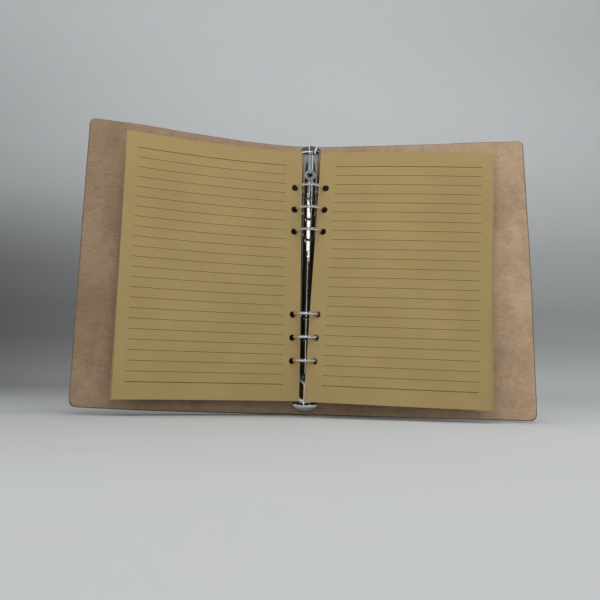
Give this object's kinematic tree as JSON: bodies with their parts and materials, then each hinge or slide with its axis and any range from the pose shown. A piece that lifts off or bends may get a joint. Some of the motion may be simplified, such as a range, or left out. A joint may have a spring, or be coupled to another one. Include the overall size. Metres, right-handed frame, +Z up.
{
  "type": "ring binder",
  "caption": "Organiser binder that stands open: a thick leather wrap cover folds about a flat spine that carries a ring mechanism with split round rings and punched sheets.",
  "frame": {"origin": "on the bottom edge of the spine, in the middle of its width and of the leather's thickness", "axes": "+Z runs up the spine, +X to the right of a reader in front of the open binder, +Y to the back, so the rings stand on the -Y side"},
  "size_m": [0.3636, 0.0587, 0.2344],
  "materials": {
    "leather": "undyed hide, suede side inside",
    "nickel": "polished nickel plate",
    "blade_steel": "plain sprung strip",
    "paper": "unbleached kraft writing paper"
  },
  "bodies": {
    "spine": {"leather_spine": "leather", "ring_housing": "nickel", "tubular_rivets": "nickel", "rivet_washers": "nickel"},
    "front_cover": {"leather_front_cover": "leather"},
    "back_cover": {"leather_back_cover": "leather"},
    "left_rings": {"left_blade": "blade_steel", "ring_1_left": "nickel", "ring_2_left": "nickel", "ring_3_left": "nickel", "ring_4_left": "nickel", "ring_5_left": "nickel", "ring_6_left": "nickel"},
    "right_rings": {"right_blade": "blade_steel", "ring_1_right": "nickel", "ring_2_right": "nickel", "ring_3_right": "nickel", "ring_4_right": "nickel", "ring_5_right": "nickel", "ring_6_right": "nickel"},
    "bottom_lever_body": {"bottom_lever": "nickel"},
    "top_lever_body": {"top_lever": "nickel"},
    "left_sheets": {"left_sheet_stack": "paper"},
    "right_sheets": {"right_sheet_stack": "paper"},
    "left_leaf": {"left_top_sheet": "paper"},
    "right_leaf": {"right_top_sheet": "paper"}
  },
  "joints": [
    {"name": "front_cover_fold", "type": "hinge", "parent": "spine", "child": "front_cover", "pos_m": [-0.015, 0, 0.1179], "axis": [0, 0, 1], "range_deg": [-17, 73]},
    {"name": "back_cover_fold", "type": "hinge", "parent": "spine", "child": "back_cover", "pos_m": [0.015, 0, 0.1179], "axis": [0, 0, -1], "range_deg": [-7.2, 82.8]},
    {"name": "ring_opening", "type": "hinge", "parent": "spine", "child": "left_rings", "pos_m": [-0.0047, -0.0036, 0.1179], "axis": [0, 0, 1], "range_deg": [-9.5, 0]},
    {"name": "right_ring_opening", "type": "hinge", "parent": "spine", "child": "right_rings", "pos_m": [0.0047, -0.0036, 0.1179], "axis": [0, 0, -1], "range_deg": [-9.5, 0]},
    {"name": "bottom_lever_press", "type": "hinge", "parent": "spine", "child": "bottom_lever_body", "pos_m": [0, -0.0029, 0.0144], "axis": [-1, 0, 0], "range_deg": [-20.1, 0]},
    {"name": "top_lever_press", "type": "hinge", "parent": "spine", "child": "top_lever_body", "pos_m": [0, -0.0029, 0.2214], "axis": [1, 0, 0], "range_deg": [-20.1, 0]},
    {"name": "left_sheets_turn", "type": "hinge", "parent": "spine", "child": "left_sheets", "pos_m": [0, -0.0158, 0.1179], "axis": [0, 0, 1], "range_deg": [-17.38, 74.3]},
    {"name": "right_sheets_turn", "type": "hinge", "parent": "spine", "child": "right_sheets", "pos_m": [0, -0.0158, 0.1179], "axis": [0, 0, -1], "range_deg": [-7.23, 82.1]},
    {"name": "left_leaf_turn", "type": "hinge", "parent": "left_sheets", "child": "left_leaf", "pos_m": [0, -0.0158, 0.1179], "axis": [0, 0, -1], "range_deg": [-155, 0]},
    {"name": "right_leaf_turn", "type": "hinge", "parent": "right_sheets", "child": "right_leaf", "pos_m": [0, -0.0158, 0.1179], "axis": [0, 0, 1], "range_deg": [-155, 0]}
  ],
  "couplings": [
    {"joint": "right_ring_opening", "follows": "ring_opening", "ratio": 1},
    {"joint": "bottom_lever_press", "follows": "ring_opening", "ratio": 2.1053},
    {"joint": "top_lever_press", "follows": "ring_opening", "ratio": 2.1053},
    {"joint": "left_sheets_turn", "follows": "front_cover_fold", "ratio": 1.0164},
    {"joint": "right_sheets_turn", "follows": "back_cover_fold", "ratio": 0.99034}
  ]
}
